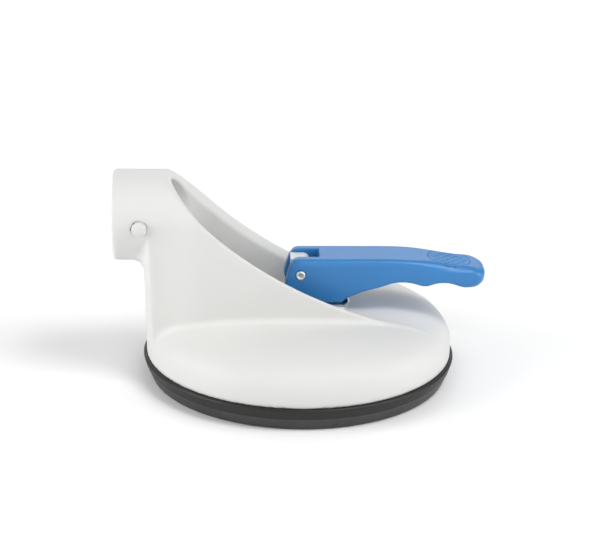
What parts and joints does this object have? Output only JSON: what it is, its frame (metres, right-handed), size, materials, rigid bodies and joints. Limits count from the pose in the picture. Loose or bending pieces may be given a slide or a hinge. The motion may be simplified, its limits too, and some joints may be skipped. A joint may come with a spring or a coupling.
{
  "type": "suction grab bar foot",
  "caption": "Vacuum suction foot of a modular grab bar: round rubber pad, domed white housing with a horizontal tube socket, and a cam lever that pulls the pad up.",
  "frame": {"origin": "centre of the bounding box's base: on the rubber pad's axis, at the sealing face", "axes": "+X along the lever to its tip, +Z away from the surface that the pad holds to, the tube socket opens towards -X"},
  "size_m": [0.142, 0.12, 0.0807],
  "materials": {
    "white_plastic": "satin moulded, slightly warm white",
    "lever_plastic": "satin moulded, mid blue",
    "grip_plastic": "fine matt texture, mid blue",
    "pad_rubber": "matt black",
    "seal_rubber": "matt black",
    "rod_end_plastic": "cool white moulded nylon",
    "bush_plastic": "natural acetal",
    "bright_steel": "bright stainless steel",
    "ring_aluminium": "satin die cast"
  },
  "bodies": {
    "foot": {"housing": "white_plastic", "clamp_ring": "ring_aluminium", "clamp_screws": "bright_steel", "pad_rim": "pad_rubber", "pad_membrane": "pad_rubber", "release_spring": "bright_steel", "spring_seat": "bright_steel", "guide_bush": "bush_plastic", "rod_seal": "seal_rubber", "slide_plate": "bright_steel", "plate_screws": "bright_steel", "leaf_rivet": "bright_steel"},
    "rod": {"pull_rod": "bright_steel", "pad_centre": "pad_rubber", "pad_plate": "bright_steel", "rod_washer": "bright_steel", "rod_nut": "bright_steel", "rod_head": "rod_end_plastic", "pivot_pin": "bright_steel", "pivot_spacers": "bright_steel"},
    "lever": {"lever": "lever_plastic", "thumb_grip": "grip_plastic"},
    "button": {"release_button": "white_plastic", "button_leaf": "bright_steel", "button_rivet": "bright_steel"}
  },
  "joints": [
    {"name": "rod_slide", "type": "slide", "parent": "foot", "child": "rod", "axis": [0, 0, -1], "range_m": [0, 0.0053], "deforming": ["pad_membrane", "release_spring"]},
    {"name": "lever_tilt", "type": "hinge", "parent": "rod", "child": "lever", "pos_m": [0, 0, 0.0423], "axis": [0, -1, 0], "range_deg": [0, 90]},
    {"name": "button_press", "type": "slide", "parent": "foot", "child": "button", "axis": [0, 1, 0], "range_m": [0, 0.0016], "stiffness_N_per_m": 600}
  ],
  "couplings": [
    {"joint": "rod_slide", "follows": "lever_tilt", "m_per_rad": 0.0033741}
  ]
}
